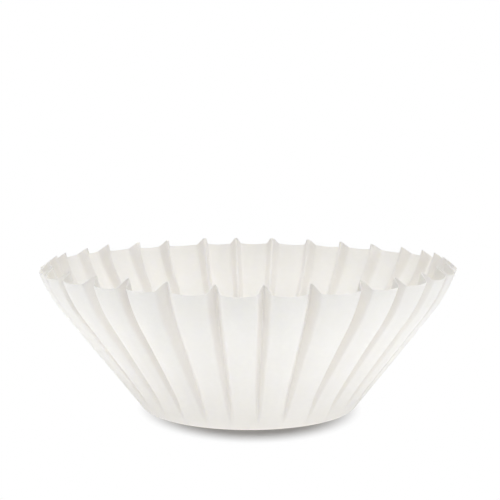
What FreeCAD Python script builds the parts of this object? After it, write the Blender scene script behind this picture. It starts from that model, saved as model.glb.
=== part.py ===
import FreeCAD, Part
import Sketcher
import math
import os
from functools import cache

# Paper basket coffee filter: one round sheet of crepe paper, pressed into a cup with a
# flat base and a leaning wall. The sheet does not stretch, so the paper that the smaller
# cup has no room for is folded inwards in narrow grooves between broad ridges. Because a
# groove is folded square to the wall, the rim rises at each groove and makes a zigzag.
# +Z is up. The origin is the middle of the base, on the surface that the filter stands on.

# Driving dimensions: alias, value and what it is. Lengths are in millimetres.
SIZES = (
    ("base_diameter", 82.5, "flat round base, up to where the wall turns up"),
    ("fold_radius", 3.0, "outside radius of the turn from the base into the wall"),
    ("wall_lean", 52.0, "slope of the straight part of the ridges, degrees from level"),
    ("straight_length", 49.9, "straight part of a ridge, from the turn upwards"),
    ("rim_bow_radius", 60.0, "radius of the curve in which a ridge steepens to the rim"),
    ("rim_length", 18.1, "straight distance from one end of that curve to the other"),
    ("flute_count", 30, "number of grooves, with as many ridges between them"),
    ("groove_width", 6.2, "width of a groove at the rim, from edge to edge"),
    ("paper_thickness", 0.2, "crepe paper, over the tops of its wrinkles"),
)

# Where the paper bends in a groove: 0 is its bottom and 1 its edge, and 2 is the middle of a
# ridge. The wall is flat between these lines.
GROOVE_BENDS = (0.0, 0.3, 0.65)
# Rings of flat facets on each part of the ridges' profile: the turn, the straight and the bow.
# Each number is a share of that part.
RINGS = ((0.0, 0.5), (0.0, 0.3, 0.65), (0.0, 0.5, 1.0))
# Steps of the search for the grooves' depth and of the slopes of the paper.
HALVINGS = 50
SMALL_STEP = 0.001
SEWING_GAP = 0.001
# Most that the solid may differ from a flat sheet of the same thickness, as a share.
VOLUME_SLACK = 0.1

AXIS = FreeCAD.Vector(0, 0, 1)
CENTRE = FreeCAD.Vector(0, 0, 0)


def make_sheet(document):
    """The spreadsheet that holds the driving dimensions."""
    sheet = document.addObject("Spreadsheet::Sheet", "Sizes")
    for row, (alias, value, note) in enumerate(SIZES, start=1):
        sheet.set(f"A{row}", alias)
        sheet.set(f"B{row}", str(value))
        sheet.setAlias(f"B{row}", alias)
        sheet.set(f"C{row}", note)
    document.recompute()
    return sheet


def make_profile(document, sheet):
    """Sketch of a ridge from the side: the turn out of the base, a straight wall and a bow."""
    start = FreeCAD.Vector(sheet.base_diameter / 2, 0, 0)
    lean = math.radians(sheet.wall_lean)
    level = -math.pi / 2
    turn_centre = start + FreeCAD.Vector(0, sheet.fold_radius, 0)
    turn_circle = Part.Circle(turn_centre, AXIS, sheet.fold_radius)
    turn = Part.ArcOfCircle(turn_circle, level, level + lean)
    upwards = FreeCAD.Vector(math.cos(lean), math.sin(lean), 0)
    inwards = FreeCAD.Vector(-math.sin(lean), math.cos(lean), 0)
    straight_end = turn.EndPoint + upwards * sheet.straight_length
    straight = Part.LineSegment(turn.EndPoint, straight_end)
    bow_circle = Part.Circle(straight_end + inwards * sheet.rim_bow_radius, AXIS, sheet.rim_bow_radius)
    bend = 2 * math.asin(sheet.rim_length / (2 * sheet.rim_bow_radius))
    bow = Part.ArcOfCircle(bow_circle, level + lean, level + lean + bend)

    profile = document.addObject("Sketcher::SketchObject", "ridge_profile")
    upright = FreeCAD.Rotation(FreeCAD.Vector(1, 0, 0), 90)
    profile.Placement = FreeCAD.Placement(CENTRE, upright)
    profile.addGeometry([turn, straight, bow], False)
    profile.addConstraint(Sketcher.Constraint("PointOnObject", 0, 1, -1))
    profile.addConstraint(Sketcher.Constraint("Vertical", 0, 1, 0, 3))
    profile.addConstraint(Sketcher.Constraint("Tangent", 0, 2, 1, 1))
    profile.addConstraint(Sketcher.Constraint("Tangent", 1, 2, 2, 1))
    driven = (
        (Sketcher.Constraint("DistanceX", -1, 1, 0, 1, start.x), "Sizes.base_diameter / 2"),
        (Sketcher.Constraint("Radius", 0, sheet.fold_radius), "Sizes.fold_radius"),
        (Sketcher.Constraint("Angle", 0, lean), "Sizes.wall_lean * 1 deg"),
        (Sketcher.Constraint("Distance", 1, 1, 1, 2, sheet.straight_length), "Sizes.straight_length"),
        (Sketcher.Constraint("Radius", 2, sheet.rim_bow_radius), "Sizes.rim_bow_radius"),
        (Sketcher.Constraint("Distance", 2, 1, 2, 2, sheet.rim_length), "Sizes.rim_length"),
    )
    for constraint, expression in driven:
        index = profile.addConstraint(constraint)
        profile.setExpression(f"Constraints[{index}]", expression)
    document.recompute()
    return profile


class Paper:
    """The pressed sheet: where its points lie.

    A distance is measured along the paper from the edge of the flat base, and a place
    across a flute, from -2 in the middle of one ridge over 0 at the bottom of the groove
    to 2 in the middle of the next ridge. The first groove faces -Y.
    """

    def __init__(self, sheet, profile):
        self.base_radius = sheet.base_diameter / 2
        self.flutes = int(sheet.flute_count)
        self.thickness = sheet.paper_thickness
        self.lean = math.radians(sheet.wall_lean)
        self.curves = profile.Geometry[:len(RINGS)]
        self.slant = sum(curve.length() for curve in self.curves)
        rim_radius = self.ridge(self.slant)[0]
        self.half_groove = sheet.groove_width / 2 / rim_radius
        self.half_ridge = math.pi / self.flutes - self.half_groove
        bends = [*GROOVE_BENDS, 1.0, 2.0]
        self.places = [-bend for bend in reversed(bends)] + bends[1:]

    @cache
    def ridge(self, distance):
        """Radius, height and lean of a ridge."""
        along = distance
        curves = iter(self.curves)
        curve = next(curves)
        while curve is not self.curves[-1] and along > curve.length():
            along -= curve.length()
            curve = next(curves)
        parameter = curve.parameterAtDistance(along, curve.FirstParameter)
        point = curve.value(parameter)
        way = curve.tangent(parameter)[0]
        return point.x, point.y, math.atan2(way.y, way.x)

    def bent_point(self, distance, place, depth):
        """A point of the outer face, for a groove of that depth square to the wall.

        Inside the bow a groove's way up is shorter than the ridge's. The paper in it is just
        as long, so it slips up by its inset times the angle of the bow so far.
        """
        radius, height, lean = self.ridge(distance)
        beyond = max(abs(place) - 1, 0)
        within = min(abs(place), 1)
        angle = math.copysign(within * self.half_groove + beyond * self.half_ridge, place)
        inset = depth * (1 + math.cos(math.pi * within)) / 2
        slip = inset * max(lean - self.lean, 0)
        out = radius - inset * math.sin(lean) + slip * math.cos(lean)
        up = height + inset * math.cos(lean) + slip * math.sin(lean)
        return FreeCAD.Vector(out * math.sin(angle), -out * math.cos(angle), up)

    def paper_length(self, distance, depth):
        """Length of the paper across one flute."""
        points = [self.bent_point(distance, place, depth) for place in self.places]
        return sum(first.distanceToPoint(second) for first, second in zip(points, points[1:]))

    @cache
    def depth(self, distance):
        """Depth of the grooves at which the paper is as long across as it was when flat."""
        flat_share = 1 + distance / self.base_radius
        flat_length = self.paper_length(0.0, 0.0) * flat_share
        shallow, deep = 0.0, self.base_radius
        for _ in range(HALVINGS):
            middle = (shallow + deep) / 2
            if self.paper_length(distance, middle) < flat_length:
                shallow = middle
            else:
                deep = middle
        return shallow

    def outer_point(self, distance, place):
        return self.bent_point(distance, place, self.depth(distance))

    def inner_point(self, distance, place):
        """A point of the inner face: a paper's thickness from the outer one, square to it."""
        point = self.outer_point(distance, place)
        if distance == 0:
            return point + AXIS * self.thickness
        below = min(distance, self.slant - SMALL_STEP)
        along = self.outer_point(below + SMALL_STEP, place) - self.outer_point(below, place)
        left = self.outer_point(distance, place - SMALL_STEP)
        right = self.outer_point(distance, place + SMALL_STEP)
        inwards = along.cross(right - left).normalize()
        return point + inwards * self.thickness

    def distances(self):
        """Where the rings of facets meet."""
        start = 0.0
        found = []
        for curve, shares in zip(self.curves, RINGS):
            found += [start + curve.length() * share for share in shares]
            start += curve.length()
        return found

    def section(self, distance, point_of):
        """The bent line of the paper across one flute."""
        return Part.makePolygon([point_of(distance, place) for place in self.places])


def around(shape, count):
    """Copies of a shape, evenly spaced round the axis."""
    copies = []
    for index in range(count):
        copy = shape.copy()
        copy.rotate(CENTRE, AXIS, 360.0 * index / count)
        copies.append(copy)
    return copies


def make_filter(document, paper):
    """The whole sheet as one solid: base, fluted wall and the cut edge at the rim."""
    faces = []
    rims = []
    for point_of in (paper.outer_point, paper.inner_point):
        sections = [paper.section(distance, point_of) for distance in paper.distances()]
        wall = Part.makeLoft(sections, False, True)
        base_edges = []
        for copy in around(sections[0], paper.flutes):
            base_edges.extend(copy.Edges)
        faces.append(Part.Face(Part.Wire(base_edges)))
        for copy in around(wall, paper.flutes):
            faces.extend(copy.Faces)
        rims.append(sections[-1])
    for copy in around(Part.makeLoft(rims, False, True), paper.flutes):
        faces.extend(copy.Faces)
    shell = Part.makeShell(faces)
    shell.sewShape(SEWING_GAP)
    solid = Part.makeSolid(shell)
    if solid.Volume < 0:
        solid.reverse()
    feature = document.addObject("Part::Feature", "coffee_filter")
    feature.Shape = solid
    feature.Label = "coffee_filter"
    feature.Placement = FreeCAD.Placement()
    return feature


def check(document, paper, feature):
    """Stop if an object has failed or the solid is not closed paper of the right volume."""
    for item in document.Objects:
        if "Invalid" in item.State or "Error" in item.State:
            raise RuntimeError(f"{item.Name} failed: {item.State}")
    shape = feature.Shape
    if shape.isNull() or not shape.isValid() or shape.ShapeType != "Solid":
        raise RuntimeError(f"{feature.Label} is not one valid solid")
    flat = math.pi * (paper.base_radius + paper.slant) ** 2 * paper.thickness
    print(f"volume {shape.Volume:.0f} cubic mm, flat sheet {flat:.0f} cubic mm")
    if abs(shape.Volume / flat - 1) > VOLUME_SLACK:
        raise RuntimeError("the paper does not have the volume of the flat sheet")


def main():
    document = FreeCAD.newDocument("basket_filter")
    sheet = make_sheet(document)
    profile = make_profile(document, sheet)
    paper = Paper(sheet, profile)
    feature = make_filter(document, paper)
    document.recompute()
    check(document, paper, feature)
    os.makedirs("parts", exist_ok=True)
    feature.Shape.exportStep(f"parts/{feature.Label}.step")


main()
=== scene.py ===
import math

import bpy
import numpy as np
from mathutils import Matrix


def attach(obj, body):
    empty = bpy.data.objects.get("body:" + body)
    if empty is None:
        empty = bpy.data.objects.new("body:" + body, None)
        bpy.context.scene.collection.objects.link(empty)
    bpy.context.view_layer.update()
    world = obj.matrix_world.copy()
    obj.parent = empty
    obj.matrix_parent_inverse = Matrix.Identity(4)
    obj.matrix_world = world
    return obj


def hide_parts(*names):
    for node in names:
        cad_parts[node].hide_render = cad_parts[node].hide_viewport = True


# One fluted paper coffee filter, drawn as a fine mesh in place of its plain solid. A round sheet is pressed
# into a cup, and the paper that the cup has no room for is folded inwards in narrow grooves.

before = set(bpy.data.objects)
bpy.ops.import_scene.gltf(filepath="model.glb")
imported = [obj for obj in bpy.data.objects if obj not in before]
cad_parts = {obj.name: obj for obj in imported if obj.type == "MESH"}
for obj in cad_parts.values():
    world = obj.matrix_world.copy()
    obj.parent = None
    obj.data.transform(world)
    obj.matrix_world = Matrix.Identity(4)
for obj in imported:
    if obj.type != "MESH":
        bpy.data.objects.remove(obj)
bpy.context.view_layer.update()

# The pressed sheet, in metres and radians. Along a ridge the paper goes from the edge of the base round a
# turn, straight up the leaning wall and through a bow to the rim.
BASE_RADIUS = 0.04125
TURN_RADIUS = 0.003
WALL_LEAN = math.radians(52.0)
STRAIGHT = 0.0499
BOW_RADIUS = 0.060
BOW_CHORD = 0.0181
FLUTES = 30
THICKNESS = 0.0002
TURNED = TURN_RADIUS * WALL_LEAN
BOW = 2 * BOW_RADIUS * math.asin(BOW_CHORD / (2 * BOW_RADIUS))
SLANT = TURNED + STRAIGHT + BOW
SHEET_WIDTH = 2 * (BASE_RADIUS + SLANT)

# A groove widens with a power of the share of the way up, which is counted from a little inside the base
GROOVE_WIDTH = 0.0058
WIDENING = 0.42
GROOVE_LEAD = TURN_RADIUS / 2
# Distances up the paper between which the grooves come in from nothing
FADE_START = 0.0015
FADE_END = 0.016
# Share of a groove's depth that crowns the ridges beside it, at the foot and at the rim
FOOT_CROWN = 0.38
RIM_CROWN = 0.16
# Search for the depth that doesn't stretch the paper: steps across a flute, and halvings of the range
FLUTE_STEPS = 80
HALVINGS = 40

# How unevenly the paper was pressed: shares of a groove's depth and width, and metres at the rim
DEPTH_SPREAD = 0.10
WIDTH_SPREAD = 0.14
PLACE_SPREAD = 0.00045
RIM_SWAY = 0.0006
# Waves round the axis: the fewest, and the most for the grooves' places and for the sway
FEWEST_WAVES = 2
PLACE_WAVES = 16
SWAY_WAVES = 5
SEED = 7
seeded = np.random.default_rng(SEED)

# The mesh: columns across half a groove and half a ridge, rings, and the powers that space the rings
GROOVE_COLUMNS = 7
RIDGE_COLUMNS = 5
BASE_RINGS = 8
TURN_RINGS = 6
WALL_RINGS = 44
BASE_SPACING = 0.6
WALL_SPACING = 1.15
SHARP_EDGE = math.radians(60)

# The paper's surface, in millimetres on the flat sheet. Real crepe wrinkles are about 0.5 mm apart, and
# these are wider so that they show. Pulp fibres make a grain, and thick and thin places make clouds.
SHEET_WIDTH_MM = 1000 * SHEET_WIDTH
CREPE_WIDTH = 0.9
CREPE_LENGTH = 5.0
GRAIN_WIDTH = 1.8
CLOUD_WIDTH = 14.0
# Height of the bumps, in metres, and the share of it that the wrinkles and the grain take
BUMP_HEIGHT = 0.0001
CREPE_STRENGTH = 0.5
GRAIN_STRENGTH = 0.3
# The paper's darkest and lightest tone, and the levels of the clouded grain where they are reached
DARK_TONE = "F9F4EF"
DARK_LEVEL = 0.12
LIGHT_TONE = "FCF7F2"
LIGHT_LEVEL = 0.42

# The studio floor, in metres. Inside an oval about the filter, which is narrow from side to side, the camera
# sees the floor in a darker grey than other rays do: painted shade that deepens the real shadow there.
# Beyond the oval the camera sees plain white. For other rays the floor is paler and glows a little, more so
# near the filter.
FLOOR_RADIUS = 3.0
FLOOR_CORNERS = 64
FLOOR_DROP = 0.00002
SHADOW_RADIUS = 0.044
WHITE_RADIUS = 0.062
SHADOW_NARROW = 1.35
# The floor's grey for camera rays is painted shade, darker than its bounce tone for other rays
PAINTED_SHADOW_TONE = "AEAEAE"
BOUNCE_TONE = "F6F6F6"
NEAR_GLOW = 0.42
FLOOR_GLOW = 0.27
WHITE = "FFFFFF"

# The lights: the white room's strength, and the place, width in metres and watts of each square lamp
ROOM_LIGHT = 0.14
LAMP_AIM = (0, 0, 0.03)
LAMPS = {
    "top_box": ((0.05, -0.28, 1.1), 0.9, 8.6),
    "right_box": ((0.95, -0.52, 0.25), 0.6, 2.3),
    "left_box": ((-0.95, -0.25, 0.30), 0.8, 2.4),
    "back_box": ((0.25, 1.2, 0.40), 0.8, 2.4),
}

# The camera of the photograph: a square frame, the filter seen from a little above and to the left
SENSOR_MM = 36.0
LENS_MM = 83.8
CAMERA_DISTANCE = 0.4668
CAMERA_ABOVE = math.radians(6.18)
CAMERA_AROUND = math.radians(3.9)
TARGET = (0.00035, 0.0, 0.0627)


# The shape of the paper
def ridge(distance):
    """Radius, height and lean of a ridge at a distance along the paper from the edge of the base: an arc of
    the turn's radius, a tangent straight and a tangent arc of the bow's radius."""
    turn = np.clip(distance, 0, TURNED) / TURN_RADIUS
    straight = np.clip(distance - TURNED, 0, STRAIGHT)
    bow = np.clip(distance - TURNED - STRAIGHT, 0, None) / BOW_RADIUS
    lean = turn + bow
    radius = BASE_RADIUS + TURN_RADIUS * np.sin(turn) + straight * np.cos(turn)
    height = TURN_RADIUS * (1 - np.cos(turn)) + straight * np.sin(turn)
    radius = radius + BOW_RADIUS * (np.sin(lean) - np.sin(turn))
    height = height + BOW_RADIUS * (np.cos(turn) - np.cos(lean))
    return radius, height, lean


def groove_width(distance):
    """The width at the rim times a power of the share of the way up."""
    return GROOVE_WIDTH * ((distance + GROOVE_LEAD) / (SLANT + GROOVE_LEAD)) ** WIDENING


def bend(distance, place, depth, wide=1.0):
    """Angle, radius and height of the paper. Within 1 of a groove's middle it is pushed in by a raised
    cosine, square to the wall, and from 1 to 2 it is the ridge. A share of the depth, which falls evenly up
    the wall, is a raised cosine as wide as the flute, which crowns the ridge. In the bow the pushed paper
    slips up the wall by its inset times the bow's angle, because it is as long as the paper of the ridge."""
    radius, height, lean = ridge(distance)
    half_groove = groove_width(distance) * wide / 2 / radius
    half_ridge = math.pi / FLUTES - half_groove
    within = np.minimum(np.abs(place), 1)
    beyond = np.maximum(np.abs(place) - 1, 0)
    angle = np.sign(place) * (within * half_groove + beyond * half_ridge)
    slot = (1 + np.cos(math.pi * within)) / 2
    crown = (1 + np.cos(angle * FLUTES)) / 2
    crown_share = FOOT_CROWN + (RIM_CROWN - FOOT_CROWN) * distance / SLANT
    inset = depth * ((1 - crown_share) * slot + crown_share * crown)
    slip = inset * np.maximum(lean - WALL_LEAN, 0)
    radius = radius - inset * np.sin(lean) + slip * np.cos(lean)
    height = height + inset * np.cos(lean) + slip * np.sin(lean)
    return angle, radius, height


def no_stretch_depth(distance):
    """Depth at which a flute's bent line is as long as its part of the flat sheet, found by halving the
    range from nothing to half the radius of the base."""
    place = np.linspace(-2, 2, FLUTE_STEPS + 1)[None, :]

    def length(depth):
        angle, radius, height = bend(distance, place, depth)
        points = np.stack([radius * np.cos(angle), radius * np.sin(angle), height], axis=-1)
        return np.linalg.norm(np.diff(points, axis=1), axis=-1).sum(axis=1)[:, None]

    wanted = 2 * math.pi / FLUTES * (BASE_RADIUS + distance)
    shallow = np.zeros_like(distance)
    deep = np.full_like(distance, BASE_RADIUS / 2)
    for _ in range(HALVINGS):
        middle = (shallow + deep) / 2
        short = length(middle) < wanted
        shallow = np.where(short, middle, shallow)
        deep = np.where(short, deep, middle)
    return shallow


def uneven(angle, most_waves):
    """A sum of sine waves round the axis, each with its own seeded start, scaled to a spread of one."""
    waves = np.arange(FEWEST_WAVES, most_waves + 1)
    starts = seeded.uniform(0, 2 * math.pi, len(waves))
    total = np.sin(angle[..., None] * waves + starts).sum(axis=-1)
    return total / math.sqrt(len(waves) / 2)


# The mesh of the paper
def ring_distances():
    """Distances along the paper from the edge of the base, one a row: even steps round the turn, then steps
    that grow up the wall with a power of the share of the way."""
    turn = np.linspace(0, TURNED, TURN_RINGS, endpoint=False)
    wall = TURNED + (SLANT - TURNED) * np.linspace(0, 1, WALL_RINGS) ** WALL_SPACING
    return np.concatenate([turn, wall])[:, None]


def columns():
    """The place of each column in its flute and the flute's number: even steps over each groove and wider
    even steps over each ridge."""
    groove_part = np.linspace(0, 1, GROOVE_COLUMNS, endpoint=False)
    ridge_part = np.linspace(1, 2, RIDGE_COLUMNS, endpoint=False)
    right = np.concatenate([groove_part, ridge_part])
    flute_places = np.concatenate([[-2.0], -right[:0:-1], right])
    return np.tile(flute_places, FLUTES), np.repeat(np.arange(FLUTES), len(flute_places))


def outer_face(distance):
    """Grid of points, rings by columns: flat rings of the base, then the bent sections up the wall. A
    groove's depth comes in by a smooth step. The sections turn with the share of the way up and sway with
    its square, both by a sum of waves round the axis."""
    place, flute = columns()
    share = distance / SLANT
    deep = 1 + DEPTH_SPREAD * seeded.uniform(-1, 1, FLUTES)[flute]
    wide = 1 + WIDTH_SPREAD * seeded.uniform(-1, 1, FLUTES)[flute]
    fade = np.clip((distance - FADE_START) / (FADE_END - FADE_START), 0, 1)
    depth = no_stretch_depth(distance) * deep * fade * fade * (3 - 2 * fade)
    angle, radius, height = bend(distance, place, depth, wide)
    angle = angle + (flute * 2 * math.pi / FLUTES - math.pi / 2)
    angle = angle + share * PLACE_SPREAD / BASE_RADIUS * uneven(angle, PLACE_WAVES)
    sway = share ** 2 * RIM_SWAY * uneven(angle, SWAY_WAVES)
    lean = ridge(distance)[2]
    # The edge of the base stays flat on the table
    above_base = np.where(height > 0, 1, 0)
    radius = radius + sway * np.sin(lean)
    height = height - sway * np.cos(lean) * above_base
    wall_points = np.stack([radius * np.cos(angle), radius * np.sin(angle), height], axis=-1)
    base_shares = np.linspace(0, 1, BASE_RINGS + 2)[1:-1, None, None] ** BASE_SPACING
    return np.concatenate([wall_points[:1] * base_shares, wall_points])


def inner_face(outer):
    """The outer grid moved by the paper's thickness along its normals, which are the cross products of its
    two directions. Over the flat base they point straight up."""
    along = np.gradient(outer, axis=0)
    across = np.roll(outer, -1, axis=1) - np.roll(outer, 1, axis=1)
    normal = np.cross(along, across)
    normal /= np.linalg.norm(normal, axis=-1, keepdims=True)
    normal[outer[..., 2] <= 0] = (0, 0, 1)
    return outer + normal * THICKNESS


def grid_quads(rings, count, first):
    """Quads between neighbouring rings, closed round the axis, as indexes of the grid's points."""
    lower = np.arange(rings - 1)[:, None] * count
    upper = lower + count
    column = np.arange(count)[None, :]
    following = (column + 1) % count
    corners = [lower + column, lower + following, upper + following, upper + column]
    return first + np.stack(corners, axis=-1).reshape(-1, 4)


def paper_faces(rings, count):
    """Faces of the whole sheet, as indexes of its points: the outer grid, the inner grid, the cut edge at
    the rim, and a fan on each side at the middle of the base."""
    second = rings * count
    rim = second - count
    middle = 2 * second
    column = np.arange(count)
    following = (column + 1) % count
    cut_edge = [second + rim + column, second + rim + following, rim + following, rim + column]
    outer_fan = [np.full(count, middle), following, column]
    inner_fan = [np.full(count, middle + 1), second + column, second + following]
    grids = [grid_quads(rings, count, 0)[:, ::-1], grid_quads(rings, count, second)]
    closing = [np.stack(corners, axis=-1) for corners in (cut_edge, outer_fan, inner_fan)]
    return [face for part in grids + closing for face in part.tolist()]


def lay_flat(mesh, outer, distance):
    """UV map: each point's place on the flat round sheet that the filter was pressed from, as a share of
    its width."""
    base = np.linalg.norm(outer[:BASE_RINGS, 0, :2], axis=-1)
    radius = np.concatenate([base[:, None], BASE_RADIUS + distance])
    turn = np.arange(outer.shape[1]) / outer.shape[1] * 2 * math.pi
    sheet = np.stack([radius * np.cos(turn), radius * np.sin(turn)], axis=-1).reshape(-1, 2)
    places = np.concatenate([sheet, sheet, [[0, 0], [0, 0]]]) / SHEET_WIDTH + 0.5
    corner = np.empty(len(mesh.loops), int)
    mesh.loops.foreach_get("vertex_index", corner)
    layer = mesh.uv_layers.new(name="flat_sheet")
    layer.data.foreach_set("uv", places[corner].ravel())


def add_object(name, data):
    """A new object in the scene, at the origin."""
    added = bpy.data.objects.new(name, data)
    bpy.context.collection.objects.link(added)
    return added


def make_filter():
    """Both faces of the paper, joined at the rim by its cut edge and closed at the middle of the base."""
    distance = ring_distances()
    outer = outer_face(distance)
    middles = [[0, 0, 0], [0, 0, THICKNESS]]
    points = np.concatenate([outer.reshape(-1, 3), inner_face(outer).reshape(-1, 3), middles])
    mesh = bpy.data.meshes.new("crepe_filter")
    mesh.from_pydata(points.tolist(), [], paper_faces(*outer.shape[:2]))
    mesh.validate()
    mesh.polygons.foreach_set("use_smooth", np.ones(len(mesh.polygons), bool))
    mesh.set_sharp_from_angle(angle=SHARP_EDGE)
    lay_flat(mesh, outer, distance)
    return add_object("crepe_filter", mesh)


# Shader nodes
def linear(code):
    """The linear colour of an sRGB hex value."""
    srgb = np.array([int(code[i:i + 2], 16) for i in (0, 2, 4)]) / 255
    return (*np.where(srgb <= 0.04045, srgb / 12.92, ((srgb + 0.055) / 1.055) ** 2.4), 1.0)


def node(tree, kind, settings=None, **inputs):
    """Adds a node with its settings and inputs. An input goes by its socket's name, or by in and its
    number, and is a value or another node's socket."""
    added = tree.nodes.new(kind)
    for name, value in (settings or {}).items():
        setattr(added, name, value)
    for name, value in inputs.items():
        socket = added.inputs[int(name[2:]) if name.startswith("in") else name.replace("_", " ")]
        if isinstance(value, bpy.types.NodeSocket):
            tree.links.new(value, socket)
        else:
            socket.default_value = value
    return added


def calculated(tree, operation, first, second):
    """The result of an operation on two values."""
    return node(tree, "ShaderNodeMath", {"operation": operation}, in0=first, in1=second).outputs["Value"]


def between(tree, share, start, end):
    """A value that goes from the start to the end as the share goes from 0 to 1."""
    return node(tree, "ShaderNodeMapRange", Value=share, To_Min=start, To_Max=end).outputs["Result"]


def scaled(tree, vector, scale):
    """A vector with each of its parts scaled."""
    return node(tree, "ShaderNodeMapping", Vector=vector, Scale=scale).outputs["Vector"]


def noise(tree, vector, **inputs):
    """The level of a noise texture."""
    return node(tree, "ShaderNodeTexNoise", Vector=vector, **inputs).outputs["Fac"]


def bumped(tree, **inputs):
    """A normal that a height tips as if the paper rose and fell by it."""
    return node(tree, "ShaderNodeBump", Distance=BUMP_HEIGHT, **inputs).outputs["Normal"]


def white_light(tree, strength):
    """A shader that gives out white light."""
    return node(tree, "ShaderNodeEmission", Color=linear(WHITE), Strength=strength).outputs["Emission"]


def seen_ray(tree):
    """1 for the rays that show the background: those of the camera, of gloss and of clear glass."""
    path = node(tree, "ShaderNodeLightPath").outputs
    seen = calculated(tree, "MAXIMUM", path["Is Camera Ray"], path["Is Glossy Ray"])
    return calculated(tree, "MAXIMUM", seen, path["Is Transmission Ray"])


def new_material(name):
    """An empty material and its node tree."""
    material = bpy.data.materials.new(name)
    material.use_nodes = True
    material.node_tree.nodes.clear()
    return material, material.node_tree


# Materials
def bleached_crepe_paper():
    """Bleached crepe filter paper: matt, warm white, with fine wrinkles that all run one way across the
    sheet. Light spreads in it by about a third of a millimetre."""
    material, tree = new_material("bleached_crepe_paper")
    sheet = node(tree, "ShaderNodeUVMap", {"uv_map": "flat_sheet"}).outputs["UV"]
    in_mm = scaled(tree, sheet, (SHEET_WIDTH_MM, SHEET_WIDTH_MM, 1))
    drawn_out = scaled(tree, in_mm, (1 / CREPE_WIDTH, 1 / CREPE_LENGTH, 1))
    crepe = noise(tree, drawn_out, Scale=1.0, Detail=3.0, Roughness=0.6, Distortion=0.3)
    grain = noise(tree, in_mm, Scale=1 / GRAIN_WIDTH, Detail=4.0, Roughness=0.65)
    cloud = noise(tree, in_mm, Scale=1 / CLOUD_WIDTH, Detail=3.0)
    ramp = node(tree, "ShaderNodeValToRGB", Fac=calculated(tree, "MULTIPLY", grain, cloud))
    dark, light = ramp.color_ramp.elements
    dark.position = DARK_LEVEL
    dark.color = linear(DARK_TONE)
    light.position = LIGHT_LEVEL
    light.color = linear(LIGHT_TONE)
    wrinkled = bumped(tree, Strength=CREPE_STRENGTH, Height=crepe)
    grained = bumped(tree, Strength=GRAIN_STRENGTH, Height=grain, Normal=wrinkled)
    shader = node(
        tree, "ShaderNodeBsdfPrincipled", Base_Color=ramp.outputs["Color"], Roughness=0.92, Normal=grained,
        IOR=1.45, Specular_IOR_Level=0.2, Sheen_Weight=0.1, Sheen_Roughness=0.6,
        Subsurface_Weight=0.9, Subsurface_Radius=(0.001, 0.001, 0.0009), Subsurface_Scale=0.35,
    )
    node(tree, "ShaderNodeOutputMaterial", Surface=shader.outputs["BSDF"])
    return material


def studio_white():
    """Matt white studio floor. Near the filter the camera sees it in a darker grey, painted shade that
    deepens its shadow, and further out it runs to plain white for the camera. Its glow, which the camera
    doesn't see, lights the foot of the wall from below."""
    material, tree = new_material("studio_white")
    seen = seen_ray(tree)
    place = node(tree, "ShaderNodeTexCoord").outputs["Object"]
    oval = scaled(tree, place, (SHADOW_NARROW, 1, 0))
    radius = node(tree, "ShaderNodeVectorMath", {"operation": "LENGTH"}, in0=oval).outputs["Value"]
    away = node(
        tree, "ShaderNodeMapRange", {"interpolation_type": "SMOOTHSTEP"},
        Value=radius, From_Min=SHADOW_RADIUS, From_Max=WHITE_RADIUS,
    ).outputs["Result"]
    # For camera rays the floor takes the darker shadow tone: painted shade that deepens the shadow near the
    # filter
    # This node has its two colours as inputs 6 and 7, and the mixed colour as output 2
    tone = node(
        tree, "ShaderNodeMix", {"data_type": "RGBA"},
        Factor=seen, in6=linear(BOUNCE_TONE), in7=linear(PAINTED_SHADOW_TONE),
    ).outputs[2]
    matt = node(tree, "ShaderNodeBsdfDiffuse", Color=tone).outputs["BSDF"]
    glow = white_light(tree, between(tree, seen, between(tree, away, NEAR_GLOW, FLOOR_GLOW), 0.0))
    near = node(tree, "ShaderNodeAddShader", in0=matt, in1=glow).outputs["Shader"]
    white_share = calculated(tree, "MULTIPLY", seen, away)
    floor = node(tree, "ShaderNodeMixShader", in0=white_share, in1=near, in2=white_light(tree, 1.0))
    node(tree, "ShaderNodeOutputMaterial", Surface=floor.outputs["Shader"])
    return material


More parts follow.
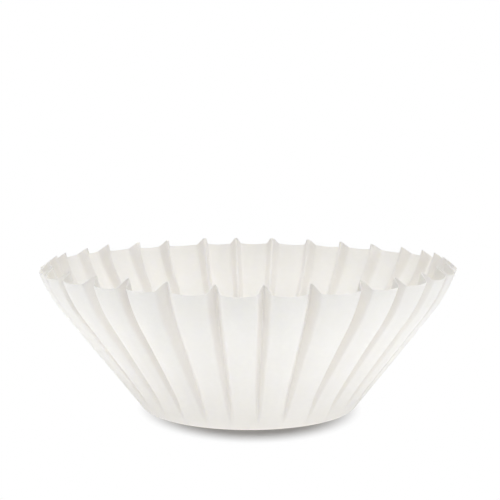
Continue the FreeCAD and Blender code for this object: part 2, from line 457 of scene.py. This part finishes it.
# The studio
def make_floor():
    """A wide round floor, a hair below the filter's base."""
    turn = np.linspace(0, 2 * math.pi, FLOOR_CORNERS, endpoint=False)
    drop = np.full(FLOOR_CORNERS, -FLOOR_DROP)
    points = np.stack([FLOOR_RADIUS * np.cos(turn), FLOOR_RADIUS * np.sin(turn), drop], axis=-1)
    mesh = bpy.data.meshes.new("floor")
    mesh.from_pydata(points.tolist(), [], [list(range(FLOOR_CORNERS))])
    mesh.materials.append(studio_white())
    floor = add_object("floor", mesh)


def make_world():
    """White all round: the camera sees plain white, and a dimmer white lights the object."""
    world = bpy.data.worlds.new("studio")
    world.use_nodes = True
    tree = world.node_tree
    tree.nodes.clear()
    level = between(tree, seen_ray(tree), ROOM_LIGHT, 1.0)
    light = node(tree, "ShaderNodeBackground", Color=linear(WHITE), Strength=level)
    node(tree, "ShaderNodeOutputWorld", Surface=light.outputs["Background"])
    bpy.context.scene.world = world


def soft_box(name, place, width, watts):
    """A square studio lamp at a place, turned to face the filter."""
    data = bpy.data.lights.new(name, "AREA")
    data.shape = "SQUARE"
    data.size = width
    data.energy = watts
    way = np.array(LAMP_AIM) - np.array(place)
    tilt = math.acos(-way[2] / float(np.linalg.norm(way)))
    lamp = add_object(name, data)
    lamp.location = place
    lamp.rotation_euler = (tilt, 0.0, math.atan2(way[1], way[0]) - math.pi / 2)


def place_camera():
    """Camera on a circle about the target, turned and raised by its two angles."""
    level = math.cos(CAMERA_ABOVE)
    back = np.array([
        -level * math.sin(CAMERA_AROUND),
        -level * math.cos(CAMERA_AROUND),
        math.sin(CAMERA_ABOVE),
    ])
    data = bpy.data.cameras.new("camera")
    data.sensor_fit = "HORIZONTAL"
    data.sensor_width = SENSOR_MM
    data.lens = LENS_MM
    camera = add_object("camera", data)
    camera.location = np.array(TARGET) + back * CAMERA_DISTANCE
    camera.rotation_euler = (math.pi / 2 - CAMERA_ABOVE, 0.0, -CAMERA_AROUND)
    bpy.context.scene.camera = camera


place_camera()
piece = make_filter()
piece.data.materials.append(bleached_crepe_paper())
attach(piece, "root")
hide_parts("coffee_filter")
make_floor()
make_world()
for lamp_name, lamp_values in LAMPS.items():
    soft_box(lamp_name, *lamp_values)

bpy.context.scene.view_settings.view_transform = "Standard"
